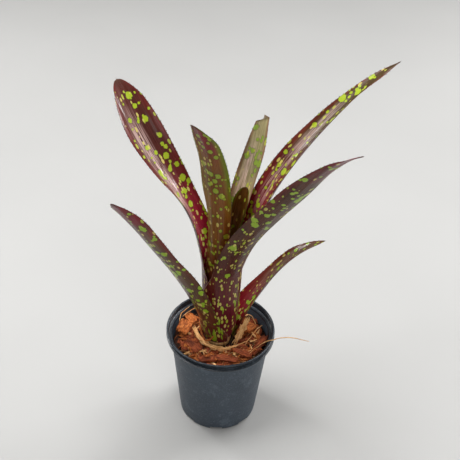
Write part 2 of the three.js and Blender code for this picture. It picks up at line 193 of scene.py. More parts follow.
def smooth(a, b, x):
    t = np.clip((x - a) / (b - a), 0, 1)
    return t * t * (3 - 2 * t)


def unit(v):
    return v / np.maximum(np.linalg.norm(v, axis=-1, keepdims=True), 1e-12)


def ripples(points, wavelength, seed, waves=9):
    """Smooth seeded noise in about -1 to 1: a sum of sine waves with random directions and phases."""
    rng = np.random.default_rng(seed)
    ways = unit(rng.normal(size=(waves, 3))) * (2 * np.pi / (wavelength * rng.uniform(0.6, 1.6, (waves, 1))))
    phase = rng.uniform(0, 2 * np.pi, waves)
    return np.sin(points @ ways.T + phase).sum(-1) / np.sqrt(waves) * 0.8


def turned_by(angles):
    """Rotation matrices from (about X, about Y, about Z) in radians, X first; angles is N by 3."""
    c, s = np.cos(angles).T, np.sin(angles).T
    m = np.empty((len(angles), 3, 3))
    rows = [
        (c[2] * c[1], c[2] * s[1] * s[0] - s[2] * c[0], c[2] * s[1] * c[0] + s[2] * s[0]),
        (s[2] * c[1], s[2] * s[1] * s[0] + c[2] * c[0], s[2] * s[1] * c[0] - c[2] * s[0]),
        (-s[1], c[1] * s[0], c[1] * c[0]),
    ]
    for k, row in enumerate(rows):
        m[:, k] = np.stack(row, -1)
    return m


# ---- Meshes ----
def grid_faces(index):
    """Quads of a grid of vertex numbers, rows by columns; neighbours that share a vertex leave a triangle."""
    a, b, c, d = index[:-1, :-1], index[:-1, 1:], index[1:, 1:], index[1:, :-1]
    return np.stack([a, b, c, d], -1).reshape(-1, 4)


def only_used(faces):
    """The vertex numbers that the faces use, and the faces numbered anew among them."""
    used, renumbered = np.unique(faces, return_inverse=True)
    return used, renumbered.reshape(faces.shape)


def piece(name, points, quads, material, stands_for=(), tris=None, attributes=None, sharp=None):
    """A mesh object at the origin from points in millimetres, riding on the plant's one body."""
    quads = np.asarray(quads, int).reshape(-1, 4)
    tris = np.zeros((0, 3), int) if tris is None else np.asarray(tris, int).reshape(-1, 3)
    folded = quads[:, 2] == quads[:, 3]
    tris = np.concatenate([tris, quads[folded][:, :3]])
    quads = quads[~folded]
    mesh = bpy.data.meshes.new(name)
    mesh.vertices.add(len(points))
    mesh.vertices.foreach_set("co", (np.asarray(points, float) * MM).ravel())
    sizes = np.concatenate([np.full(len(quads), 4), np.full(len(tris), 3)])
    mesh.loops.add(int(sizes.sum()))
    mesh.loops.foreach_set("vertex_index", np.concatenate([quads.ravel(), tris.ravel()]))
    mesh.polygons.add(len(sizes))
    mesh.polygons.foreach_set("loop_start", np.cumsum(sizes) - sizes)
    mesh.update(calc_edges=True)
    for key, values in (attributes or {}).items():
        kind = "FLOAT_VECTOR" if values.ndim == 2 else "FLOAT"
        field = "vector" if values.ndim == 2 else "value"
        mesh.attributes.new(key, kind, "POINT").data.foreach_set(field, values.astype(np.float32).ravel())
    mesh.polygons.foreach_set("use_smooth", np.ones(len(sizes), bool))
    if sharp:
        mesh.set_sharp_from_angle(angle=np.radians(sharp))
    obj = bpy.data.objects.new(name, mesh)
    bpy.context.scene.collection.objects.link(obj)
    mesh.materials.append(material)
    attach(obj, "root")
    if stands_for:
        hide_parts(*stands_for)
    return obj


# ---- Node helpers ----
def wire(tree, kind, inputs=None, **settings):
    """Adds a node; each input is given a number, a colour or another node's output socket."""
    node = tree.nodes.new("ShaderNode" + kind)
    for key, value in settings.items():
        setattr(node, key, value)
    for key, value in (inputs or {}).items():
        if isinstance(value, bpy.types.NodeSocket):
            tree.links.new(value, node.inputs[key])
        else:
            node.inputs[key].default_value = value
    return node


def calc(tree, operation, a, b=0.0, c=0.0, clamp=False):
    return wire(tree, "Math", {0: a, 1: b, 2: c}, operation=operation, use_clamp=clamp).outputs[0]


def times(tree, a, b):
    return calc(tree, "MULTIPLY", a, b)


def plus(tree, a, b):
    return calc(tree, "ADD", a, b)


def flipped(tree, value):
    """1 where value is 0, and 0 where it is 1."""
    return calc(tree, "SUBTRACT", 1.0, value)


def magnitude(tree, value):
    return calc(tree, "ABSOLUTE", value)


def step(tree, value, low, high):
    """0 below low, 1 above high, smooth between."""
    inputs = {"Value": value, "From Min": low, "From Max": high}
    return wire(tree, "MapRange", inputs, interpolation_type="SMOOTHSTEP").outputs[0]


def blend(tree, share, a, b, how="MIX"):
    node = wire(tree, "Mix", {0: share, 6: a, 7: b}, data_type="RGBA", blend_type=how)
    return node.outputs[2]


def noise(tree, vector, scale, detail=3.0, rough=0.55):
    inputs = {"Vector": vector, "Scale": scale, "Detail": detail, "Roughness": rough}
    return wire(tree, "TexNoise", inputs).outputs[0]


def stretched(tree, vector, x, y, z):
    return wire(tree, "VectorMath", {0: vector, 1: (x, y, z)}, operation="MULTIPLY").outputs[0]


def colour(rgb):
    return (*rgb, 1.0)


def new_group(name, ins, outs):
    """An empty node group; ins and outs are (name, socket kind) pairs. Returns tree, inputs, outputs."""
    tree = bpy.data.node_groups.new(name, "ShaderNodeTree")
    for sockets, way in ((ins, "INPUT"), (outs, "OUTPUT")):
        for label, kind in sockets:
            tree.interface.new_socket(label, in_out=way, socket_type="NodeSocket" + kind)
    return tree, tree.nodes.new("NodeGroupInput").outputs, tree.nodes.new("NodeGroupOutput").inputs


def new_material(name, group, inputs, bump, bump_distance, **constants):
    """A Principled surface fed by a group's Color, Roughness and Height; constants go on its own sockets."""
    material = bpy.data.materials.new(name)
    material.use_nodes = True
    tree = material.node_tree
    shader = tree.nodes["Principled BSDF"]
    made = wire(tree, "Group", node_tree=group)
    for key, value in inputs.items():
        if callable(value):
            tree.links.new(value(tree), made.inputs[key])
        else:
            made.inputs[key].default_value = value
    tree.links.new(made.outputs["Color"], shader.inputs["Base Color"])
    tree.links.new(made.outputs["Roughness"], shader.inputs["Roughness"])
    height = {"Height": made.outputs["Height"], "Strength": bump, "Distance": bump_distance}
    tree.links.new(wire(tree, "Bump", height).outputs[0], shader.inputs["Normal"])
    for key, value in constants.items():
        shader.inputs[key.replace("_", " ")].default_value = value
    return material


def attribute(name, output="Vector"):
    return lambda tree: wire(tree, "Attribute", attribute_name=name).outputs[output]


def object_place(tree):
    return wire(tree, "TexCoord").outputs["Object"]


# ---- Finishes ----
FINISH = [("Color", "Color"), ("Roughness", "Float"), ("Height", "Float")]


def leaf_skin():
    """Leaf colour: base to tip and inner to outer, a red foot and tip outside, lengthwise streaks, spots with
    ragged rims, small flecks low down, a painted pale highlight along the channel, a pale strip beside the
    keel outside that is the scurf's grey and partly painted sheen, coloured margins with a dark edge that
    stands as painted shadow along the sheath, a dry tip, and a painted pale highlight along the sheath's
    margin."""
    tree, given, out = new_group(
        "leaf_skin",
        [("Place", "Vector"), ("Lie", "Vector"), ("Inner", "Float"), ("Inner base", "Color"),
         ("Inner tip", "Color"), ("Outer", "Color"), ("Strip", "Color"), ("Spot inner", "Color"),
         ("Spot outer", "Color"), ("Painted highlight", "Float"), ("Strip side", "Float"), ("Margin", "Color")],
        FINISH,
    )
    lie = wire(tree, "SeparateXYZ", {0: given["Lie"]}).outputs
    along, across, spots = lie[0], lie[1], lie[2]
    place = given["Place"]
    off_middle = magnitude(tree, across)
    cloud = noise(tree, stretched(tree, place, 0.06, 0.03, 1), 1.0, 4)
    streak = noise(tree, stretched(tree, place, 0.9, 0.035, 1), 1.0, 4, 0.65)
    fine = noise(tree, stretched(tree, place, 2.4, 0.25, 1), 1.0, 2)
    # Inner face, and outer face with its pale strip: the scurf's grey, made paler as painted sheen where the
    # face turns at the keel.
    tipward = step(tree, plus(tree, along, times(tree, cloud, 0.3)), 0.25, 0.8)
    inside = blend(tree, tipward, given["Inner base"], given["Inner tip"])
    shifted = calc(tree, "SUBTRACT", across, times(tree, given["Strip side"], 0.5))
    wavy = plus(tree, shifted, times(tree, calc(tree, "SUBTRACT", streak, 0.5), 0.5))
    strip = flipped(tree, step(tree, magnitude(tree, wavy), 0.05, 0.36))
    strip = times(tree, strip, step(tree, along, 0.0, 0.25))
    outside = blend(tree, times(tree, strip, 0.75), given["Outer"], given["Strip"])
    # A red foot and tip on the outer face, and coloured margins on both.
    margin = times(tree, step(tree, off_middle, 0.6, 0.98), 0.6)
    inside = blend(tree, margin, inside, given["Margin"])
    drifting = plus(tree, along, times(tree, cloud, 0.4))
    foot = flipped(tree, step(tree, drifting, -0.1, 0.45))
    outside = blend(tree, times(tree, foot, 0.85), outside, colour(SHEATH_RED))
    rosy = times(tree, step(tree, drifting, 0.9, 1.15), 0.85)
    outside = blend(tree, rosy, outside, colour(TIP_RED))
    outer_margin = times(tree, times(tree, margin, step(tree, along, 0.3, 0.6)), 1.2)
    outside = blend(tree, outer_margin, outside, given["Margin"])
    skin = blend(tree, given["Inner"], outside, inside)
    # Painted highlight: a pale streak along the inner channel.
    beside = magnitude(tree, plus(tree, across, 0.3))
    channel = flipped(tree, step(tree, beside, 0.08, 0.5))
    painted_highlight = times(tree, times(tree, channel, step(tree, streak, 0.38, 0.58)), given["Painted highlight"])
    low_end, high_end = step(tree, along, 0.12, 0.35), step(tree, along, 0.66, 0.9)
    midway = times(tree, low_end, flipped(tree, high_end))
    painted_highlight = times(tree, painted_highlight, times(tree, given["Inner"], midway))
    skin = blend(tree, times(tree, painted_highlight, 0.85), skin, colour(PAINTED_HIGHLIGHT_PINK))
    # Light and dark streaks over both faces.
    shade = calc(tree, "MULTIPLY_ADD", streak, 1.9, calc(tree, "MULTIPLY_ADD", cloud, 1.4, -0.6))
    grey = wire(tree, "CombineColor", {0: shade, 1: shade, 2: shade}).outputs[0]
    skin = blend(tree, 1.0, skin, grey, "MULTIPLY")
    # Spots.
    ragged = times(tree, calc(tree, "SUBTRACT", noise(tree, place, 0.55, 3), 0.5), 0.9)
    field = plus(tree, spots, ragged)
    rim = times(tree, step(tree, field, -0.3, 0.0), 0.45)
    skin = blend(tree, rim, skin, colour(SPOT_RIM))
    green = blend(tree, given["Inner"], given["Spot outer"], given["Spot inner"])
    green = blend(tree, step(tree, fine, 0.35, 0.75), green, colour(SPOT_YELLOW))
    spotted = step(tree, field, 0.0, 0.22)
    skin = blend(tree, spotted, skin, green)
    # Cream and lime flecks, thickest low on the leaf.
    stretch = stretched(tree, place, 0.36, 0.17, 1)
    cells = wire(tree, "TexVoronoi", {"Vector": stretch, "Scale": 1.0})
    chosen = wire(tree, "SeparateXYZ", {0: cells.outputs["Color"]}).outputs
    low = flipped(tree, step(tree, along, -0.1, 0.75))
    kept = step(tree, plus(tree, chosen[0], times(tree, low, 0.62)), 0.68, 0.72)
    grain = calc(tree, "MULTIPLY_ADD", chosen[1], 0.32, 0.16)
    dot = calc(tree, "SUBTRACT", grain, cells.outputs["Distance"])
    dots = times(tree, step(tree, plus(tree, dot, times(tree, ragged, 0.1)), 0, 0.05), kept)
    fleck = blend(tree, chosen[2], colour(FLECK_CREAM), colour(FLECK_LIME))
    skin = blend(tree, times(tree, dots, 0.85), skin, fleck)
    # A dark edge, which along the sheath is painted shadow at the margin; a dry tip; and a painted pale
    # highlight along the sheath's margin.
    edge = step(tree, off_middle, 0.93, 1.0)
    dry = step(tree, along, 0.965, 1.0)
    dark = calc(tree, "MAXIMUM", times(tree, edge, 0.6), dry)
    skin = blend(tree, times(tree, dark, 0.8), skin, colour(DRY_AND_SHADOW_BROWN))
    sheathed = flipped(tree, step(tree, along, -0.05, 0.08))
    painted_edge_highlight = times(tree, step(tree, off_middle, 0.955, 0.985), sheathed)
    skin = blend(tree, times(tree, painted_edge_highlight, 0.6), skin, colour(PAINTED_EDGE_HIGHLIGHT))
    tree.links.new(skin, out["Color"])
    # The strip is matter on the outer face.
    outer_matt = calc(tree, "SUBTRACT", 0.22, times(tree, given["Inner"], 0.22))
    rough = calc(tree, "MULTIPLY_ADD", fine, 0.2, 0.2)
    rough = plus(tree, rough, times(tree, strip, outer_matt))
    tree.links.new(plus(tree, rough, times(tree, dark, 0.2)), out["Roughness"])
    sideways = wire(tree, "SeparateXYZ", {0: place}).outputs[0]
    veins = calc(tree, "SINE", times(tree, sideways, 5.2))
    relief = calc(tree, "MULTIPLY_ADD", streak, 0.8, times(tree, veins, 0.12))
    relief = plus(tree, relief, times(tree, spotted, 0.15))
    tree.links.new(relief, out["Height"])
    return tree


def plant_fibre():
    """Dry husk, straw and twig: three tones in streaks along the piece, with pits across them."""
    tree, given, out = new_group(
        "plant_fibre",
        [("Grain", "Vector"), ("Dark", "Color"), ("Middle", "Color"), ("Light", "Color")],
        FINISH,
    )
    streak = noise(tree, stretched(tree, given["Grain"], 0.16, 1.5, 1.5), 1.0, 5, 0.7)
    patch = noise(tree, stretched(tree, given["Grain"], 0.12, 0.2, 0.4), 1.0, 3)
    tone = blend(tree, step(tree, streak, 0.34, 0.56), given["Dark"], given["Middle"])
    tone = blend(tree, step(tree, streak, 0.54, 0.76), tone, given["Light"])
    tone = blend(tree, times(tree, step(tree, patch, 0.48, 0.68), 0.7), tone, given["Dark"])
    tree.links.new(tone, out["Color"])
    tree.links.new(calc(tree, "MULTIPLY_ADD", streak, -0.3, 0.95), out["Roughness"])
    tree.links.new(streak, out["Height"])
    return tree


def moulded_plastic():
    """Matt moulded plastic: fine speckle, drag lines round the wall, pale scuffs, and a smoother rim painted
    darker as painted shade.
    """
    tree, given, out = new_group(
        "moulded_plastic",
        [("Place", "Vector"), ("Body", "Color"), ("Scuff", "Color")],
        FINISH,
    )
    place = given["Place"]
    speckle = noise(tree, place, 620.0, 3, 0.75)
    cloud = noise(tree, place, 26.0, 4)
    scratch = noise(tree, stretched(tree, place, 90, 90, 900), 1.0, 3, 0.7)
    worn = times(tree, step(tree, scratch, 0.6, 0.78), step(tree, cloud, 0.45, 0.7))
    rub = calc(tree, "MULTIPLY_ADD", worn, 0.5, times(tree, step(tree, speckle, 0.52, 0.74), 0.3))
    smudge = times(tree, step(tree, noise(tree, place, 70.0, 5, 0.7), 0.5, 0.7), 0.14)
    rub = plus(tree, rub, smudge)
    rub = calc(tree, "ADD", rub, times(tree, cloud, 0.16), clamp=True)
    height = wire(tree, "SeparateXYZ", {0: place}).outputs[2]
    # The rim band is painted darker than the wall as painted shade, so the band, which faces up and catches
    # light, stays dark; it is also smoother and carries fewer scuffs.
    rim = step(tree, height, 0.0935, 0.096)
    body = blend(tree, rim, given["Body"], colour(RIM_PAINTED_SHADE))
    rub = times(tree, rub, calc(tree, "MULTIPLY_ADD", rim, -0.6, 1.0))
    tree.links.new(blend(tree, rub, body, given["Scuff"]), out["Color"])
    matt = calc(tree, "MULTIPLY_ADD", cloud, 0.2, calc(tree, "MULTIPLY_ADD", speckle, 0.15, 0.34))
    tree.links.new(calc(tree, "MULTIPLY_ADD", rim, -0.34, matt), out["Roughness"])
    tree.links.new(calc(tree, "MULTIPLY_ADD", scratch, 0.5, speckle), out["Height"])
    return tree


SKIN, FIBRE, PLASTIC = leaf_skin(), plant_fibre(), moulded_plastic()


def leaf_material(name, look, margin, strip_side):
    coloured = ("Inner base", "Inner tip", "Outer", "Strip", "Spot inner", "Spot outer")
    inputs = dict(zip(coloured, map(colour, look[:6])))
    inputs.update({"Place": attribute("place"), "Lie": attribute("lie"), "Inner": attribute("inner", "Fac"),
                   "Painted highlight": look[6], "Strip side": strip_side, "Margin": colour(margin)})
    return new_material(name + "_skin", SKIN, inputs, 0.6, 0.0006, Coat_Weight=0.22, Coat_Roughness=0.09,
                        Specular_IOR_Level=0.15, Specular_Tint=(1.0, 0.82, 0.7, 1.0))


def fibre_material(name, dark, middle, light, bump=0.7):
    inputs = {"Grain": attribute("grain"), "Dark": colour(dark), "Middle": colour(middle),
              "Light": colour(light)}
    return new_material(name, FIBRE, inputs, bump, 0.0006, Specular_IOR_Level=0.25)


HUSK_DARK = fibre_material(
    "husk_dark", (0.01, 0.004, 0.002), (0.05, 0.014, 0.006), (0.14, 0.045, 0.016))
HUSK_RED = fibre_material(
    "husk_red", (0.05, 0.01, 0.004), (0.34, 0.07, 0.022), (0.72, 0.27, 0.09), 1.0)
HUSK_ORANGE = fibre_material(
    "husk_orange", (0.12, 0.022, 0.005), (0.52, 0.14, 0.028), (0.85, 0.4, 0.12), 1.0)
STRAW = fibre_material("dry_straw", (0.42, 0.14, 0.03), (0.98, 0.58, 0.24), (1.0, 0.88, 0.62), 1.0)
SPINE = fibre_material("leaf_spine", (0.02, 0.008, 0.008), (0.05, 0.018, 0.015), (0.09, 0.03, 0.02), 0.2)
POT_PLASTIC = new_material(
    "pot_wall", PLASTIC,
    {"Place": object_place, "Body": colour(POT_BODY), "Scuff": colour(POT_SCUFF)},
    0.7, 0.0004, Specular_IOR_Level=0.45)


# ---- Leaves ----
def ring_radius(layer, z):
    return keyed(TUBE_RADII, (z - TUBE_BOTTOM) / TUBE_LENGTH) - LAYER_PITCH * layer


def direction(lean, heading):
    return np.stack([np.sin(lean) * np.cos(heading), np.sin(lean) * np.sin(heading), np.cos(lean)], -1)


def neck_of(leaf):
    """Where the sheath ends: its height, its radius about the plant's axis and half its wrap in degrees."""
    height = BED_HEIGHT + leaf["neck"]
    radius = ring_radius(leaf["layer"], np.array([height]))[0]
    return height, radius, np.degrees(leaf["half"][0] / radius)


def sheath_surface(leaf, s, t):
    """Part of a round tube about the plant's axis: its points, inward normals and half width."""
    neck, _, neck_angle = neck_of(leaf)
    foot = FOOT_HEIGHT + FOOT_STEP * leaf["layer"]
    z = neck + np.minimum(s, 0)
    wrap = np.radians(keyed(leaf["wrap"] + [neck_angle], (z - foot) / (neck - foot)))
    ring = ring_radius(leaf["layer"], z)
    angle = np.radians(leaf["heading"]) - wrap[:, None] * t
    normal = np.stack([-np.cos(angle), -np.sin(angle), 0 * angle], -1)
    centre = np.stack([AXIS[0] + 0 * z, AXIS[1] + 0 * z, z], -1)[:, None]
    return centre - normal * ring[:, None, None], normal, wrap * ring


def blade_line(leaf, q):
    """The blade's middle line at shares q of its length, stepped along its lean and turn, and the directions
    along it, into its channel and to its side."""
    neck, start, _ = neck_of(leaf)
    heading = np.radians(leaf["heading"])
    u = np.linspace(0, 1, PATH_STEPS + 1)
    way = direction(np.radians(keyed(leaf["lean"], u)), heading + np.radians(keyed(leaf["turn"], u)))
    steps = np.cumsum((way[1:] + way[:-1]) / 2 * leaf["length"] / PATH_STEPS, 0)
    first = np.array([AXIS[0] + start * np.cos(heading), AXIS[1] + start * np.sin(heading), neck])
    path = first + np.vstack([np.zeros(3), steps])
    middle = np.stack([np.interp(q, u, path[:, k]) for k in range(3)], -1)
    lean = np.radians(keyed(leaf["lean"], q))
    head = heading + np.radians(keyed(leaf["turn"], q))
    along = direction(lean, head)
    share = smooth(0, 0.22, q)[:, None]
    upright = np.array([-np.cos(heading), -np.sin(heading), 0])
    inward = unit(upright * (1 - share) + direction(lean - np.pi / 2, head) * share)
    side = unit(np.cross(along, inward))
    roll = np.radians(keyed(leaf["roll"], q))[:, None]
    face = inward * np.cos(roll) + side * np.sin(roll)
    return middle, along, face, side * np.cos(roll) - inward * np.sin(roll)


def blade_surface(leaf, q, t):
    """The blade's points, normals and half width. Its section is an arc, whose radius is the half width over
    the half angle of the channel."""
    middle, along, face, side = blade_line(leaf, q)
    radius = keyed(leaf["half"], q) / np.radians(keyed([neck_of(leaf)[2]] + leaf["fold"], q))
    x = np.minimum((1 - q) / leaf["tip"][0], 1)
    half = np.maximum(keyed(leaf["half"], q) * (1 - (1 - x) ** 1.6) ** leaf["tip"][1], leaf["whip"])
    bend = (half / radius)[:, None] * t
    skew = leaf.get("slant", 0) * smooth(0.8, 1, q)[:, None] * t
    rise = (radius[:, None] * (1 - np.cos(bend)))[..., None]
    blade = middle[:, None] + along[:, None] * skew[..., None] + face[:, None] * rise
    blade = blade + side[:, None] * (radius[:, None] * np.sin(bend))[..., None]
    return blade, face[:, None] * np.cos(bend)[..., None] - side[:, None] * np.sin(bend)[..., None], half


def leaf_surface(leaf, s, t):
    """Middle surface of a leaf, its normal towards the inner face, and the distance across, at s millimetres
    past the neck (less than 0 in the sheath) and t from -1 to 1 across."""
    tube, tube_normal, tube_half = sheath_surface(leaf, s, t)
    blade, blade_normal, blade_half = blade_surface(leaf, np.clip(s / leaf["length"], 0, 1), t)
    past = (s > 0)[:, None, None]
    width = np.where(s > 0, blade_half, tube_half)
    return np.where(past, blade, tube), np.where(past, blade_normal, tube_normal), width[:, None] * t


def spot_field(leaf, s, across, seed):
    """How deep each point lies in the nearest spot: 1 at a centre, 0 at a rim, down to -1 away from all.

    Spots fall at random, apart from one another and thickest in the leaf's favoured band. Many are small, few
    are large, and each is a little longer than it is wide. Long streaks follow, low on the sheath.
    """
    count, small, large, band = leaf["spots"]
    rng = np.random.default_rng(seed)
    half = np.abs(across).max()
    field = np.full(across.shape, -1.0)
    kept = np.zeros((0, 2))
    while len(kept) < count:
        up = rng.uniform(0.02, 0.96) * leaf["length"]
        where = np.array([up, half * np.clip(rng.normal(band, 0.42), -0.8, 0.8)])
        size = small + (large - small) * rng.random() ** 2.2
        crowded = len(kept) and np.hypot(*(kept - where).T).min() < 0.75 * size + 1.5
        if crowded:
            count -= 0.2
            continue
        kept = np.vstack([kept, where])
        d = np.hypot((s[:, None] - where[0]) / (1.15 * size), (across - where[1]) / size)
        field = np.maximum(field, 1 - d)
    for _ in range(SHEATH_STREAKS):
        up = s[0] + min(STREAK_REACH, -s[0]) * rng.uniform(0.1, 0.9)
        off = half * rng.uniform(-0.9, 0.9)
        long, wide = rng.uniform(4, 8), rng.uniform(0.9, 1.5)
        d = np.hypot((s[:, None] - up) / long, (across - off) / wide)
        field = np.maximum(field, 1 - d)
    return field


def spine_roots(leaf, s, middle, seed):
    """Where the spines stand on both margins and the tip, with the ways outwards and onwards there."""
    rng = np.random.default_rng(100 + seed)
    found = []
    last = middle.shape[1] - 1
    for column, sign in ((0, -1), (last, 1)):
        at = np.cumsum(rng.uniform(*SPINE_GAPS, int(leaf["length"] / 4.4)))
        at = at[at < 0.96 * leaf["length"]]
        row = np.clip(np.searchsorted(s, at), 1, len(s) - 2)
        edge = middle[row, column]
        found.append((edge, unit(edge - middle[row, column - sign]), unit(middle[row + 1, column] - edge)))
    if not leaf.get("slant"):
        way = unit(middle[-1, last // 2] - middle[-3, last // 2])[None]
        found.append((middle[-1:, last // 2], way, way * 0.3 + np.array([[0.0, 0.0, 0.2]])))
    return (np.concatenate(part) for part in zip(*found))


def make_spines(name, leaf, roots, outwards, onwards):
    """Small hooked spines along the margins: four-sided cones that lean towards the tip."""
    rng = np.random.default_rng(len(name) + leaf["layer"])
    number = len(roots)
    length = rng.uniform(*SPINE_LENGTHS, (number, 1))
    tip = roots + outwards * length + onwards * length * 0.8
    turn = np.arange(4) * np.pi / 2
    third = unit(np.cross(outwards, onwards))
    long, wide = SPINE_FOOT
    ring = onwards[:, None] * (long * np.cos(turn))[:, None] + third[:, None] * (wide * np.sin(turn))[:, None]
    base = (roots - outwards * SPINE_SUNK)[:, None] + ring
    points = np.concatenate([base, tip[:, None]], 1).reshape(-1, 3)
    start = 5 * np.arange(number)[:, None]
    sides = [np.stack([start + k, start + (k + 1) % 4, start + 4], -1) for k in range(4)]
    piece(name + "_spines", points, start + np.array([[3, 2, 1, 0]]), SPINE,
          tris=np.concatenate(sides).reshape(-1, 3), attributes={"grain": points + 7.0})


def make_leaf(name, leaf, seed):
    """A closed thin body: both faces stand half the thickness off the middle surface, times 1 - t^4."""
    n = ACROSS_CELLS
    foot = FOOT_HEIGHT + FOOT_STEP * leaf["layer"] - BED_HEIGHT - leaf["neck"]
    rows = int((leaf["length"] - foot) / ALONG_STEP)
    s = np.linspace(foot, leaf["length"], rows + 1)
    t = np.sin(np.linspace(-1, 1, n + 1) * np.pi / 2 * MARGIN_EASE) / np.sin(np.pi / 2 * MARGIN_EASE)
    middle, normal, across = leaf_surface(leaf, s, t)
    q = s / leaf["length"]
    # The margins ripple a little and the blade has shallow lengthwise pleats.
    free = (smooth(0.1, 0.35, q) * (1 - smooth(0.93, 1, q)))[:, None]
    wave = RIPPLE_HEIGHT * np.sin(s / RIPPLE_LENGTH + seed)[:, None] * np.sign(t) * np.abs(t) ** 4
    wave = wave + PLEAT_DEPTH * np.cos(across * PLEATS)
    # The sheath margins stand off the layer beneath.
    flare = -SHEATH_FLARE * np.abs(t) ** 8 * (1 - smooth(-0.02, 0.1, q))[:, None]
    middle = middle + normal * (wave * free + flare)[..., None]
    ends = np.ones(rows + 1)
    ends[[0, -1]] = 0
    depth = (LEAF_THICKNESS / 2 * ends[:, None] * (1 - t**4))[..., None]
    inner, outer = middle + normal * depth, middle - normal * depth
    points = np.concatenate([inner, outer[:, 1:-1]], 1)
    index = np.arange(points.shape[0] * points.shape[1]).reshape(points.shape[:2])
    back = np.concatenate([index[:, :1], index[:, n + 1:], index[:, n:n + 1]], 1)
    back[0], back[-1] = index[0, :n + 1], index[-1, :n + 1]
    used, faces = only_used(np.concatenate([grid_faces(index[:, :n + 1]), grid_faces(back[:, ::-1])]))
    # What the finish reads: share along, share across and depth in a spot; place on the skin; which face.
    field = spot_field(leaf, s, across, seed)
    lie = np.stack([np.repeat(q[:, None], n + 1, 1), np.repeat(t[None], rows + 1, 0), field], -1)
    flat = np.stack([across, np.repeat(s[:, None], n + 1, 1), 0 * across + 40.0 * seed], -1)
    lie, flat = (np.concatenate([a, a[:, 1:-1]], 1).reshape(-1, 3)[used] for a in (lie, flat))
    facing = np.concatenate([np.ones(n + 1), np.zeros(n - 1)])
    facing[[0, n]] = 0.5
    inside = np.repeat(facing[None], rows + 1, 0).ravel()[used]
    margin, strip_side = leaf.get("margin", RED_MARGIN), leaf.get("strip_side", STRIP_SIDE)
    material = leaf_material(name, leaf["look"], margin, strip_side)
    piece(name + "_blade", points.reshape(-1, 3)[used], faces, material, (name,),
          attributes={"lie": lie, "place": flat, "inner": inside})
    make_spines(name, leaf, *spine_roots(leaf, s, middle, seed))


# ---- Pot ----
def arc(centre, radius, start, end, steps=5):
    """Points of a round corner in the profile, angles in degrees."""
    a = np.radians(np.linspace(start, end, steps))
    return np.stack([centre[0] + radius * np.cos(a), centre[1] + radius * np.sin(a)], -1)


def turned(profile, segments):
    """Points and faces of a body of revolution from a profile that runs outwards, up and back to the axis."""
    a = np.linspace(0, 2 * np.pi, segments, endpoint=False)
    r, z = profile[1:-1, 0], profile[1:-1, 1]
    ring = np.stack([r[:, None] * np.cos(a), r[:, None] * np.sin(a), z[:, None] + 0 * a], -1)
    index = np.arange(len(r) * segments).reshape(-1, segments)
    index = np.concatenate([index, index[:, :1]], 1)
    low, high = len(r) * segments, len(r) * segments + 1
    ends = np.array([[0, 0, profile[0, 1]], [0, 0, profile[-1, 1]]])
    under = np.stack([index[0, 1:], index[0, :-1], np.full(segments, low)], -1)
    over = np.stack([index[-1, :-1], index[-1, 1:], np.full(segments, high)], -1)
    return np.concatenate([ring.reshape(-1, 3), ends]), grid_faces(index), np.concatenate([under, over])


def wall_inside(z):
    """Radius of the wall's inner face."""
    return BASE_RADIUS + (RIM_RADIUS - RIM_STEP - BASE_RADIUS) / BAND_FOOT * z - WALL


def pot_profile():
    """The wall and its rolled rim band, from the middle of the underside round to the middle of the floor."""
    top = BAND_FOOT
    neck = RIM_RADIUS - RIM_STEP
    band = RIM_RADIUS - BAND
    up = np.linspace(4, top - 2, 14)
    return np.vstack([
        [[0, 0], [BASE_RADIUS - 6, 0]],
        arc((BASE_RADIUS - 1.2, 1.2), 1.2, -90, -5),
        np.stack([BASE_RADIUS + (neck - BASE_RADIUS) / top * up, up], -1),
        arc((neck + 0.9, top - 1.1), 0.9, 180, 90, 4),
        arc((RIM_RADIUS - 0.7, top + 0.7), 0.7, -90, 0),
        [[RIM_RADIUS, top + LEDGE[0]], [RIM_RADIUS - BAND_SET_IN, top + LEDGE[1]]],
        [[RIM_RADIUS - BAND_SET_IN, POT_HEIGHT - 3], [RIM_RADIUS - 0.5, POT_HEIGHT - 1.9]],
        arc((RIM_RADIUS - 1.2, POT_HEIGHT - 1.2), 1.2, 0, 180, 9),
        arc((band + 0.1, POT_HEIGHT - 2.2), 0.2, 60, 180, 3),
        [[band, top + WALL + 2]],
        arc((band - 1, top + WALL + 1), 1, 0, -90, 4),
        [[wall_inside(top) + 0.5, top + WALL - 0.2], [wall_inside(top), top - 0.6]],
        [[wall_inside(FLOOR + 1), FLOOR + 1], [wall_inside(FLOOR) - 1, FLOOR], [0, FLOOR]],
    ])


def cut_notches(pot):
    """Cuts the drainage notches at the foot, the first of them at the front."""
    cutters = []
    for k in range(NOTCHES):
        bpy.ops.mesh.primitive_cube_add(size=1)
        cutter = bpy.context.object
        turn = Matrix.Rotation(np.radians(-90 + 360 / NOTCHES * k), 4, "Z")
        outwards = Matrix.Translation((BASE_RADIUS * MM, 0, 0))
        cutter.data.transform(turn @ outwards @ Matrix.Diagonal((*NOTCH_SIZE, 1)))
        cut = pot.modifiers.new("notch", "BOOLEAN")
        cut.object = cutter
        cut.solver = "EXACT"
        cutters.append(cutter)
    cutaway = bpy.data.meshes.new_from_object(pot.evaluated_get(bpy.context.evaluated_depsgraph_get()))
    pot.modifiers.clear()
    pot.data = cutaway
    for cutter in cutters:
        bpy.data.objects.remove(cutter)
    cutaway.polygons.foreach_set("use_smooth", np.ones(len(cutaway.polygons), bool))
    cutaway.set_sharp_from_angle(angle=np.radians(40))


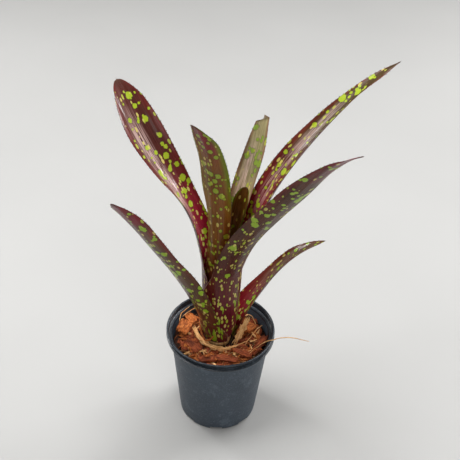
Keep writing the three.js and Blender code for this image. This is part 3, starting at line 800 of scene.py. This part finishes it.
def make_pot():
    """The turned wall, a little out of round, with a ledge that wavers and drainage notches."""
    points, quads, tris = turned(pot_profile(), POT_SEGMENTS)
    bow = 0.12 * ripples(points, 70, 3) * (points[:, 2] > 5)
    ledge = np.abs(points[:, 2] - BAND_FOOT - LEDGE[1]) < 0.01
    points[ledge, 2] += 0.16 * ripples(points[ledge], 9, 4)
    points[:, :2] *= (1 + bow / 50)[:, None]
    cut_notches(piece("nursery_pot", points, quads, POT_PLASTIC, ("pot",), tris=tris))


# ---- Husk ----
def bed_level(x, y):
    """Height of the husk: flat, dipping under the plant's foot, with lumps."""
    away = np.hypot(x - AXIS[0], y - AXIS[1])
    spots = np.stack([x, y, 0 * x], -1)
    lumps = 0.9 * ripples(spots, 16, 5) + 0.4 * ripples(spots, 6, 6)
    return BED_HEIGHT - BED_DIMPLE * (1 - smooth(16, 25, away)) + lumps - 1.0


def make_bed():
    """A turned plug that fills the pot, its top raised to the bed's level over fine rings."""
    bottom = FLOOR + 3
    rings = np.linspace(wall_inside(BED_HEIGHT) - 0.5, 0, BED_RINGS)
    profile = np.vstack([[[0, bottom], [30, bottom], [wall_inside(bottom + 4) - 0.5, bottom + 4]],
                         np.stack([rings, np.full(BED_RINGS, BED_HEIGHT)], -1)])
    points, quads, tris = turned(profile, BED_SEGMENTS)
    over = points[:, 2] > BED_HEIGHT - 0.5
    points[over, 2] = bed_level(points[over, 0], points[over, 1])
    piece("husk_crumb_bed", points, quads, HUSK_DARK, ("husk_bed",), tris=tris,
          attributes={"grain": points * 2.0})


def blunt(w, corner):
    """w from -1 to 1, pushed towards its ends, more so the smaller corner is."""
    return np.sign(w) * np.abs(w) ** corner


def lump_shape(rings=5, sides=8, corner=0.6):
    """A closed unit lump, 1 long each way: rings of points between two poles, flattened into a rounded block;
    a smaller corner makes a squarer block."""
    v = np.linspace(0, np.pi, rings + 2)[1:-1]
    a = np.linspace(0, 2 * np.pi, sides, endpoint=False)
    width = blunt(np.sin(v), corner)[:, None]
    body = np.stack([blunt(np.cos(v), corner)[:, None] + 0 * a, width * blunt(np.cos(a), corner),
                     width * blunt(np.sin(a), corner)], -1).reshape(-1, 3)
    index = np.arange(rings * sides).reshape(rings, sides)
    index = np.concatenate([index, index[:, :1]], 1)
    near = np.stack([index[0, 1:], index[0, :-1], np.full(sides, rings * sides)], -1)
    far = np.stack([index[-1, :-1], index[-1, 1:], np.full(sides, rings * sides + 1)], -1)
    points = np.concatenate([body, [[1, 0, 0], [-1, 0, 0]]]) / 2
    return points, grid_faces(index)[:, ::-1], np.concatenate([near, far])[:, ::-1]


def scatter(rng, number, inner, outer):
    """Places on the bed between the plant's foot and the wall."""
    found = np.zeros((0, 2))
    while len(found) < number:
        angle, r = rng.uniform(0, 2 * np.pi, 2 * number), outer * np.sqrt(rng.random(2 * number))
        spots = np.stack([r * np.cos(angle), r * np.sin(angle)], -1)
        found = np.vstack([found, spots[np.hypot(*(spots - AXIS).T) > inner]])
    return found[:number]


def make_crumbs(name, number, length, material, seed, lift, slim=1.0):
    """Many small husk pieces, each the unit lump, jittered, stretched, tilted and dropped on the bed."""
    rng = np.random.default_rng(seed)
    shape, quads, tris = lump_shape()
    at = scatter(rng, number, 21, wall_inside(BED_HEIGHT) - length[1] * 0.45)
    size = rng.uniform(*length, (number, 1)) * np.stack(
        [np.ones(number), slim * rng.uniform(0.3, 0.62, number), slim * rng.uniform(0.16, 0.34, number)], -1)
    own = shape * (1 + rng.uniform(-0.28, 0.28, (number, len(shape), 3))) * size[:, None]
    turn = turned_by(np.stack([rng.normal(0, 0.35, number), rng.normal(0, 0.3, number),
                               rng.uniform(0, 6.28, number)], -1))
    z = bed_level(*at.T) + lift + rng.uniform(0, 1.6, number)
    points = np.einsum("nij,nvj->nvi", turn, own) + np.concatenate([at, z[:, None]], -1)[:, None]
    offset = len(shape) * np.arange(number)[:, None, None]
    grain = own + rng.uniform(0, 500, (number, 1, 3))
    piece(name, points.reshape(-1, 3), quads + offset, material, tris=tris + offset,
          attributes={"grain": grain.reshape(-1, 3)}, sharp=50)


def tubes(paths, radius, sides=5):
    """Round tubes along N paths at once, tapered at both ends. Returns points, quads, tris and grain."""
    number, steps, _ = paths.shape
    way = unit(np.gradient(paths, axis=1))
    side = unit(np.cross(way, np.array([0.03, 0.05, 1.0])))
    up = np.cross(side, way)
    a = np.linspace(0, 2 * np.pi, sides, endpoint=False)
    taper = np.sin(np.linspace(0.12, np.pi - 0.12, steps)) ** 0.4
    wide = (radius[:, None] * taper)[..., None, None]
    ring = (side[:, :, None] * np.cos(a)[:, None] + up[:, :, None] * np.sin(a)[:, None]) * wide
    points = paths[:, :, None] + ring
    index = np.arange(steps * sides).reshape(steps, sides)
    index = np.concatenate([index, index[:, :1]], 1)
    caps = []
    for row, flip in ((index[0, :-1], 1), (index[-1, :-1], -1)):
        fan = np.stack([np.full(sides - 2, row[0]), row[1:-1], row[2:]], -1)
        caps.append(fan[:, ::flip])
    quads = grid_faces(index)[:, ::-1]
    offset = steps * sides * np.arange(number)[:, None, None]
    first_step = np.linalg.norm(paths[:, 1] - paths[:, 0], axis=-1)[:, None, None]
    lengths = np.arange(steps)[None, :, None] * first_step
    grain = np.stack([lengths + 0 * a + 31.0 * np.arange(number)[:, None, None],
                      np.cos(a) + 0 * lengths, np.sin(a) + 0 * lengths], -1)
    tris = (np.concatenate(caps) + offset).reshape(-1, 3)
    return points.reshape(-1, 3), (quads + offset).reshape(-1, 4), tris, grain.reshape(-1, 3)


def make_loose_fibres(name, number, length, radius, material, seed):
    """Thin husk fibres that lie in shallow arcs over the chips."""
    rng = np.random.default_rng(seed)
    at = scatter(rng, number, 22, wall_inside(BED_HEIGHT) - 5)
    heading = rng.uniform(0, 2 * np.pi, (number, 1))
    curl = rng.normal(0, 1.1, (number, 1))
    u = np.linspace(-0.5, 0.5, 9)
    size = rng.uniform(*length, (number, 1))
    angle = heading + curl * u
    x = np.cumsum(np.cos(angle) * size / 8, 1)
    y = np.cumsum(np.sin(angle) * size / 8, 1)
    x, y = at[:, :1] + x - x.mean(1, keepdims=True), at[:, 1:] + y - y.mean(1, keepdims=True)
    shrink = np.minimum(1, (wall_inside(BED_HEIGHT) - 0.8) / np.hypot(x, y))
    x, y = x * shrink, y * shrink
    dx, dy = x - AXIS[0], y - AXIS[1]
    push = np.maximum(1, FOOT_CLEAR / np.hypot(dx, dy))
    x, y = AXIS[0] + dx * push, AXIS[1] + dy * push
    hump = rng.uniform(0.5, 3.5, (number, 1)) * (1 - 4 * u**2)
    z = bed_level(x, y) + rng.uniform(1.0, 2.6, (number, 1)) + hump
    points, quads, tris, grain = tubes(np.stack([x, y, z], -1), rng.uniform(*radius, number), 4)
    piece(name, points, quads, material, tris=tris, attributes={"grain": grain})


# Turn about Z and tilts about X and Y in degrees, with length, width and thickness, as in the frame.
CHIPS = [
    (17, 12, 4.5, 70, 18, 0), (20, 8, 2.4, -45, 8, 0), (19, 8, 2.6, -26, -10, 0), (24, 7, 2.2, -8, 6, 0),
    (17, 11, 5, 60, 0, 16), (26, 7, 2.6, 62, 0, -8), (20, 10, 3.4, 12, -8, 0), (18, 9, 3, 160, 8, 0),
    (16, 9, 3.2, 118, 0, 6), (15, 8, 2.8, 22, -6, 0),
]
ORANGE_CHIPS = (1, 5, 9)
STRIP_ROWS, STRIP_COLUMNS = 70, 23
UPRIGHT_OVER = 15  # a strip that rises by more than this faces forwards, not up


def above_bed(keys):
    return np.array(keys, float) + [0, 0, BED_HEIGHT]


def box_of(node):
    """A CAD node's lowest and highest corners in millimetres."""
    return (np.array(corner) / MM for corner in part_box(node))


def make_chip(number, length, width, thick, turn, tilt_x, tilt_y):
    """A split husk chip: a rounded block whose ends and sides are torn by lengthwise ridges."""
    name = f"chip_{number}"
    low, high = box_of(name)
    shape, quads, tris = lump_shape(40, 60, 0.32)
    rng = np.random.default_rng(number)
    own = shape * np.array([length, width, thick]) * 0.94
    ridge = ripples(own * [0.1, 1, 1], 1.3, number) * 0.1 + ripples(own * [0.35, 1, 1], 5, 50 + number) * 0.16
    torn = ripples(own * [0.0, 1.0, 1.0], 1.5, 80 + number) * 0.17
    own = own * np.stack([1 + torn, 1 + ridge, 1 + ridge * 2], -1)
    own[:, 2] += 0.5 * thick * (own[:, 0] / length) ** 2 * rng.choice([-1, 1])
    matrix = turned_by(np.radians([[tilt_x, tilt_y, turn]]))[0]
    points = own @ matrix.T + (low + high) / 2
    material = HUSK_ORANGE if number in ORANGE_CHIPS else HUSK_RED
    piece(f"husk_{name}", points, quads, material, (name,), tris=tris,
          attributes={"grain": own + 60.0 * number})


def make_strip(name, stands_for, keys, width, thick, cup, material, seed):
    """A dry flat strip along a smooth path, cupped, ridged lengthwise and ragged at both ends."""
    keys = above_bed(keys)
    v, t = np.linspace(0, 1, STRIP_ROWS), np.linspace(-1, 1, STRIP_COLUMNS)
    path = keyed(keys, v)
    way = unit(np.gradient(path, axis=0))
    upright = np.ptp(keys[:, 2]) > UPRIGHT_OVER
    face = np.array([0.35, -1.0, 0.25]) if upright else np.array([0.1, -0.35, 1.0])
    side = unit(np.cross(way, face))
    out = unit(np.cross(side, way))
    narrow = (np.sin(np.pi * np.clip(v * 0.92 + 0.04, 0, 1)) ** 0.35)[:, None]
    waver = np.stack([np.sin(v * 19 + seed), np.sin(v * 31 + 3 * seed)]).mean(0)
    frayed = 1 + 0.3 * waver[:, None] * np.abs(t)
    flat = t * narrow * frayed * width / 2
    places = np.stack([path[:, :1] + flat, flat * 3, flat], -1)
    ridge = 0.16 * np.sin(flat * 7 + seed) + 0.12 * ripples(places, 4, seed)
    lift = cup * (t**2 - 0.4) * narrow + ridge
    torn = 0.32 * width * np.sin(t * 7 + seed) + 0.28 * width * np.sin(t * 23 + 2 * seed)
    ragged = torn * (smooth(0.85, 1, v) - smooth(0.15, 0, v))[:, None]
    middle = path[:, None] + side[:, None] * flat[..., None] + out[:, None] * lift[..., None]
    middle = middle + way[:, None] * ragged[..., None]
    ends = np.minimum(1, 12 * np.minimum(v, 1 - v))[:, None]
    depth = (0.5 * thick * (1 - t**6) * ends)[..., None] * out[:, None]
    top, under = middle + depth, middle - depth
    index = np.arange(STRIP_ROWS * STRIP_COLUMNS).reshape(STRIP_ROWS, STRIP_COLUMNS)
    lower = index + index.size
    lower[0], lower[-1], lower[:, 0], lower[:, -1] = index[0], index[-1], index[:, 0], index[:, -1]
    used, faces = only_used(np.concatenate([grid_faces(index), grid_faces(lower[:, ::-1])]))
    points = np.concatenate([top.reshape(-1, 3), under.reshape(-1, 3)])[used]
    run = np.repeat((v * np.linalg.norm(keys[-1] - keys[0]))[:, None], STRIP_COLUMNS, 1)
    grain = np.stack([run, flat * 2, lift], -1).reshape(-1, 3)
    grain = np.concatenate([grain, grain])[used] + 9.0 * seed
    piece(name, points, faces, material, (stands_for,), attributes={"grain": grain})


FIBRES = {
    "fibre_left_1": [(-41, 15, 7), (-39, 24, 10), (-32, 33, 11)],
    "fibre_left_2": [(-38, 22, 7), (-30, 31, 8.5), (-21, 38, 7)],
    "fibre_right_1": [(24, -12, 7), (33, 2, 10.5), (40, 14, 8)],
    "fibre_right_2": [(36, 14, 4), (31, 24, 8), (27, 32, 5)],
    "fibre_stray": [(28, -25, 7), (39, -19, 15), (50, -15, 17.2), (62, -11, 17), (72, -10, 15.5),
                    (84, -11, 13)],
}
TWIG = [
    [(-21, 8, 13), (-18.5, -1, 9.5), (-14, -10, 6.5)],
    [(-6.5, -15, 18), (-9.5, -13.5, 12), (-14, -10, 6.5)],
]
TWIG_RADII = [1.15, 0.95]


def make_named_fibres():
    """The five fibres of the CAD part, wavering a little along their paths."""
    for name, keys in FIBRES.items():
        path = keyed(above_bed(keys), np.linspace(0, 1, 60))
        path = path + 0.25 * np.stack([ripples(path, 8, k) for k in (11, 12, 13)], -1)
        points, quads, tris, grain = tubes(path[None], np.array([0.42]), 8)
        piece("husk_" + name, points, quads, STRAW, (name,), tris=tris, attributes={"grain": grain})


def make_twig():
    """A trunk and a branch that meet at their lower ends."""
    paths = [keyed(above_bed(keys), np.linspace(0, 1, 40)) for keys in TWIG]
    points, quads, tris, grain = tubes(np.stack(paths), np.array(TWIG_RADII), 10)
    points = points + 0.12 * ripples(points, 3, 21)[:, None]
    piece("forked_twig", points, quads, HUSK_ORANGE, ("twig_forked",), tris=tris,
          attributes={"grain": grain})


def make_stem():
    """The short stem that the sheaths stand round, turned with a slight swell at each sheath's foot."""
    low, high = box_of("stem")
    z = np.linspace(low[2], high[2] - 1, 40)
    layer = np.clip((z - FOOT_HEIGHT) / FOOT_STEP, 0, 7)
    r = ring_radius(layer, z) - 1.3 + 0.15 * np.sin(z * 1.6)
    r = np.minimum(r, 13.5) * (1 - 0.5 * smooth(0.85, 1, (z - low[2]) / (high[2] - low[2])))
    profile = np.vstack([[[0, low[2]]], np.stack([r, z], -1), [[0, high[2]]]])
    points, quads, tris = turned(profile, 48)
    points[:, :2] += AXIS
    piece("plant_stem", points, quads, STRAW, ("stem",), tris=tris,
          attributes={"grain": points[:, [2, 0, 1]]})


# ---- Stage ----
FLOOR_DARK, FLOOR_PALE = (0.4, 0.398, 0.39), (0.46, 0.458, 0.45)
WORLD_COLOUR, WORLD_STRENGTH = (1.0, 0.99, 0.965, 1), 0.32
LAMP_AIM = [0, 0, 0.18]
# Name, place and width in metres, and power in watts.
LAMPS = [
    ("key_light", (-0.4, 0.1, 1.4), 0.8, 14),
    ("top_light", (0.05, 0.2, 1.5), 0.3, 3.5),
    ("fill_light", (0.9, 1.0, 1.5), 0.9, 16),
    ("left_light", (-1.0, 0.75, 0.75), 0.3, 6),
    ("right_light", (1.25, 0.75, 0.5), 0.3, 7),
    ("front_light", (0.5, -1.2, 0.9), 0.8, 5),
]


def placed(right, up, back, place):
    """The matrix of a lamp or camera that looks away from back."""
    return Matrix(np.vstack([np.stack([right, up, back, place], -1), [0, 0, 0, 1]]))


def make_stage():
    """A plain pale floor, a pale world and soft lights."""
    material = bpy.data.materials.new("studio_floor")
    material.use_nodes = True
    tree = material.node_tree
    shader = tree.nodes["Principled BSDF"]
    tone = noise(tree, object_place(tree), 3.0, 2)
    grey = blend(tree, tone, colour(FLOOR_DARK), colour(FLOOR_PALE))
    tree.links.new(grey, shader.inputs["Base Color"])
    shader.inputs["Roughness"].default_value = 0.7
    mesh = bpy.data.meshes.new("studio_floor")
    mesh.from_pydata([(-4, -4, 0), (4, -4, 0), (4, 4, 0), (-4, 4, 0)], [], [(0, 1, 2, 3)])
    mesh.materials.append(material)
    floor = bpy.data.objects.new("studio_floor", mesh)
    bpy.context.scene.collection.objects.link(floor)
    world = bpy.data.worlds.new("studio")
    world.use_nodes = True
    background = world.node_tree.nodes["Background"].inputs
    background[0].default_value = WORLD_COLOUR
    background[1].default_value = WORLD_STRENGTH
    bpy.context.scene.world = world
    for name, place, size, power in LAMPS:
        light = bpy.data.lights.new(name, "AREA")
        light.shape = "DISK"
        light.size = size
        light.energy = power
        lamp = bpy.data.objects.new(name, light)
        back = unit(np.array(place) - LAMP_AIM)
        right = unit(np.cross([0, 0, 1], back))
        lamp.matrix_world = placed(right, np.cross(back, right), back, place)
        bpy.context.scene.collection.objects.link(lamp)
    bpy.context.scene.view_settings.view_transform = "Standard"


def make_camera():
    """Looks down at the plant from its front, with a slight roll."""
    elevation, roll, distance = np.radians(36.8), np.radians(2.8), 0.7865
    back = np.array([0, -np.cos(elevation), np.sin(elevation)])
    up = np.array([0, np.sin(elevation), np.cos(elevation)])
    right = np.cos(roll) * np.array([1, 0, 0]) + np.sin(roll) * up
    up = np.cross(back, right)
    place = np.array([0, 0, 0.15]) + back * distance + 0.007 * right + 0.0555 * up
    data = bpy.data.cameras.new("studio_camera")
    data.lens = 66.5
    camera = bpy.data.objects.new("studio_camera", data)
    camera.matrix_world = placed(right, up, back, place)
    bpy.context.scene.collection.objects.link(camera)
    bpy.context.scene.camera = camera


make_camera()
make_stage()
for number, (leaf_name, leaf_values) in enumerate(LEAVES.items(), 1):
    make_leaf(leaf_name, leaf_values, number)
make_pot()
make_bed()
make_stem()
make_crumbs("husk_crumbs_dark", 240, (5, 11), HUSK_DARK, 31, -0.4)
make_crumbs("husk_crumbs_red", 150, (7, 16), HUSK_RED, 32, 0.4)
make_crumbs("husk_crumbs_orange", 70, (6, 14), HUSK_ORANGE, 33, 0.8)
make_crumbs("husk_slivers_pale", 46, (9, 20), STRAW, 34, 1.6, 0.28)
make_crumbs("husk_slivers_orange", 70, (8, 19), HUSK_ORANGE, 35, 1.2, 0.4)
make_loose_fibres("husk_hair_pale", 55, (8, 26), (0.1, 0.22), STRAW, 41)
make_loose_fibres("husk_hair_orange", 110, (6, 22), (0.1, 0.24), HUSK_ORANGE, 42)
for number, chip in enumerate(CHIPS, 1):
    make_chip(number, *chip)
make_strip(
    "dry_straw_curved", "straw_curved",
    [(-26, 8, 7), (-20, -5, 6), (-9, -14, 4), (2, -17, 3.5), (11, -15, 3.5)],
    5.2, 0.7, 0.3, STRAW, 1)
make_strip(
    "dry_straw_split_1", "straw_curved",
    [(-27, 5, 8), (-20, -8, 7.5), (-9, -16, 5.5), (4, -17.5, 5), (17, -13, 6.5)],
    1.8, 0.6, 0.1, STRAW, 4)
make_strip(
    "dry_straw_split_2", "straw_curved",
    [(-24, -4, 6.5), (-14, -14, 6), (-3, -18.5, 5.8), (10, -16.5, 5.5), (26, -10, 9)],
    1.3, 0.5, 0.1, STRAW, 5)
make_strip(
    "dry_straw_tall", "straw_tall", [(14, -9, 5.5), (19.5, -5, 16), (25, 0, 29)],
    7, 0.7, 0.6, STRAW, 2)
make_named_fibres()
make_twig()
